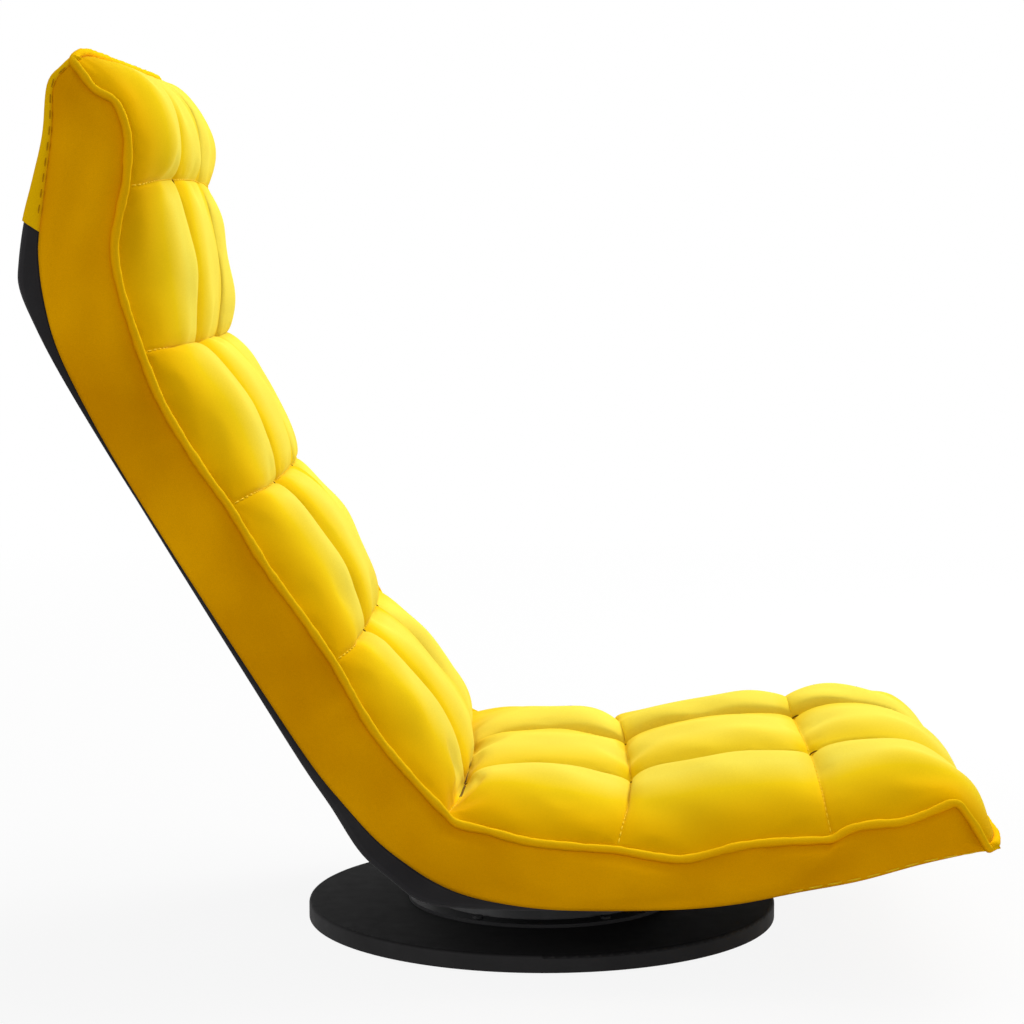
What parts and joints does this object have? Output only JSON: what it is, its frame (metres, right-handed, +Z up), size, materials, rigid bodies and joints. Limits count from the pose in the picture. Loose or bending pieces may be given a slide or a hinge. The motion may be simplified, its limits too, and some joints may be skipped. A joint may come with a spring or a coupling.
{
  "type": "floor chair",
  "caption": "Swivel floor chair with a tufted padded seat and a reclining backrest with a bent headrest, on a round base board.",
  "frame": {"origin": "centre of the floor pad's underside, on the swivel axis", "axes": "+X the way the sitter faces, +Y to the sitter's left, +Z up"},
  "size_m": [0.7911, 0.513, 0.759],
  "materials": {
    "pad_rubber": "matte foam rubber",
    "black_board": "black painted board",
    "black_steel": "black powder coat",
    "zinc_steel": "zinc plated steel",
    "webbing": "woven elastic strap",
    "foam": "open cell foam",
    "velvet": "yellow velvet",
    "black_cloth": "black nonwoven backing cloth"
  },
  "bodies": {
    "base": {"floor_pad": "pad_rubber", "base_disc": "black_board", "swivel_pedestal": "black_steel", "pedestal_screws": "zinc_steel", "swivel_lower_plate": "black_steel", "lower_plate_screws": "zinc_steel", "king_bolt": "zinc_steel", "king_nut": "zinc_steel"},
    "ball_cage": {"swivel_ball_cage": "zinc_steel", "swivel_balls": "zinc_steel"},
    "seat": {"swivel_upper_plate": "black_steel", "mount_bolts": "zinc_steel", "weld_nuts": "zinc_steel", "seat_frame": "black_steel", "seat_cross_tubes": "black_steel", "seat_webbing": "webbing", "seat_foam": "foam", "seat_piping": "velvet", "seat_pillows_row_1": "velvet", "seat_pillows_row_2": "velvet", "seat_pillows_row_3": "velvet", "left_seat_side_panel": "velvet", "right_seat_side_panel": "velvet", "seat_underside_cover": "black_cloth", "front_flap": "velvet", "left_hinge_bracket": "zinc_steel", "right_hinge_bracket": "zinc_steel", "hinge_pivot_rivets": "zinc_steel", "pawl_pins": "zinc_steel", "seat_tube_rivets": "zinc_steel", "pawl_springs": "zinc_steel"},
    "backrest": {"back_frame": "black_steel", "back_cross_tubes": "black_steel", "back_webbing": "webbing", "back_foam": "foam", "back_piping": "velvet", "back_pillows_row_1": "velvet", "back_pillows_row_2": "velvet", "back_pillows_row_3": "velvet", "back_pillows_row_4": "velvet", "back_pillows_row_5": "velvet", "left_back_side_panel": "velvet", "right_back_side_panel": "velvet", "back_rear_cover": "black_cloth", "head_flap": "velvet", "left_ratchet_arm": "zinc_steel", "right_ratchet_arm": "zinc_steel", "back_tube_rivets": "zinc_steel"},
    "left_pawl": {"left_pawl": "zinc_steel"},
    "right_pawl": {"right_pawl": "zinc_steel"}
  },
  "joints": [
    {"name": "seat_swivel", "type": "hinge", "parent": "base", "child": "seat", "pos_m": [0, 0, 0.057], "axis": [0, 0, 1], "continuous": true},
    {"name": "cage_roll", "type": "hinge", "parent": "base", "child": "ball_cage", "pos_m": [0, 0, 0.057], "axis": [0, 0, 1], "continuous": true},
    {"name": "backrest_recline", "type": "hinge", "parent": "seat", "child": "backrest", "pos_m": [-0.09, 0, 0.102], "axis": [0, -1, 0], "range_deg": [-30, 60]},
    {"name": "left_pawl_lift", "type": "hinge", "parent": "seat", "child": "left_pawl", "pos_m": [-0.0525, 0.2345, 0.102], "axis": [0, 1, 0], "range_deg": [0, 12], "stiffness_Nm_per_rad": 0.05},
    {"name": "right_pawl_lift", "type": "hinge", "parent": "seat", "child": "right_pawl", "pos_m": [-0.0525, -0.2345, 0.102], "axis": [0, 1, 0], "range_deg": [0, 12], "stiffness_Nm_per_rad": 0.05}
  ],
  "couplings": [
    {"joint": "cage_roll", "follows": "seat_swivel", "ratio": 0.5}
  ]
}
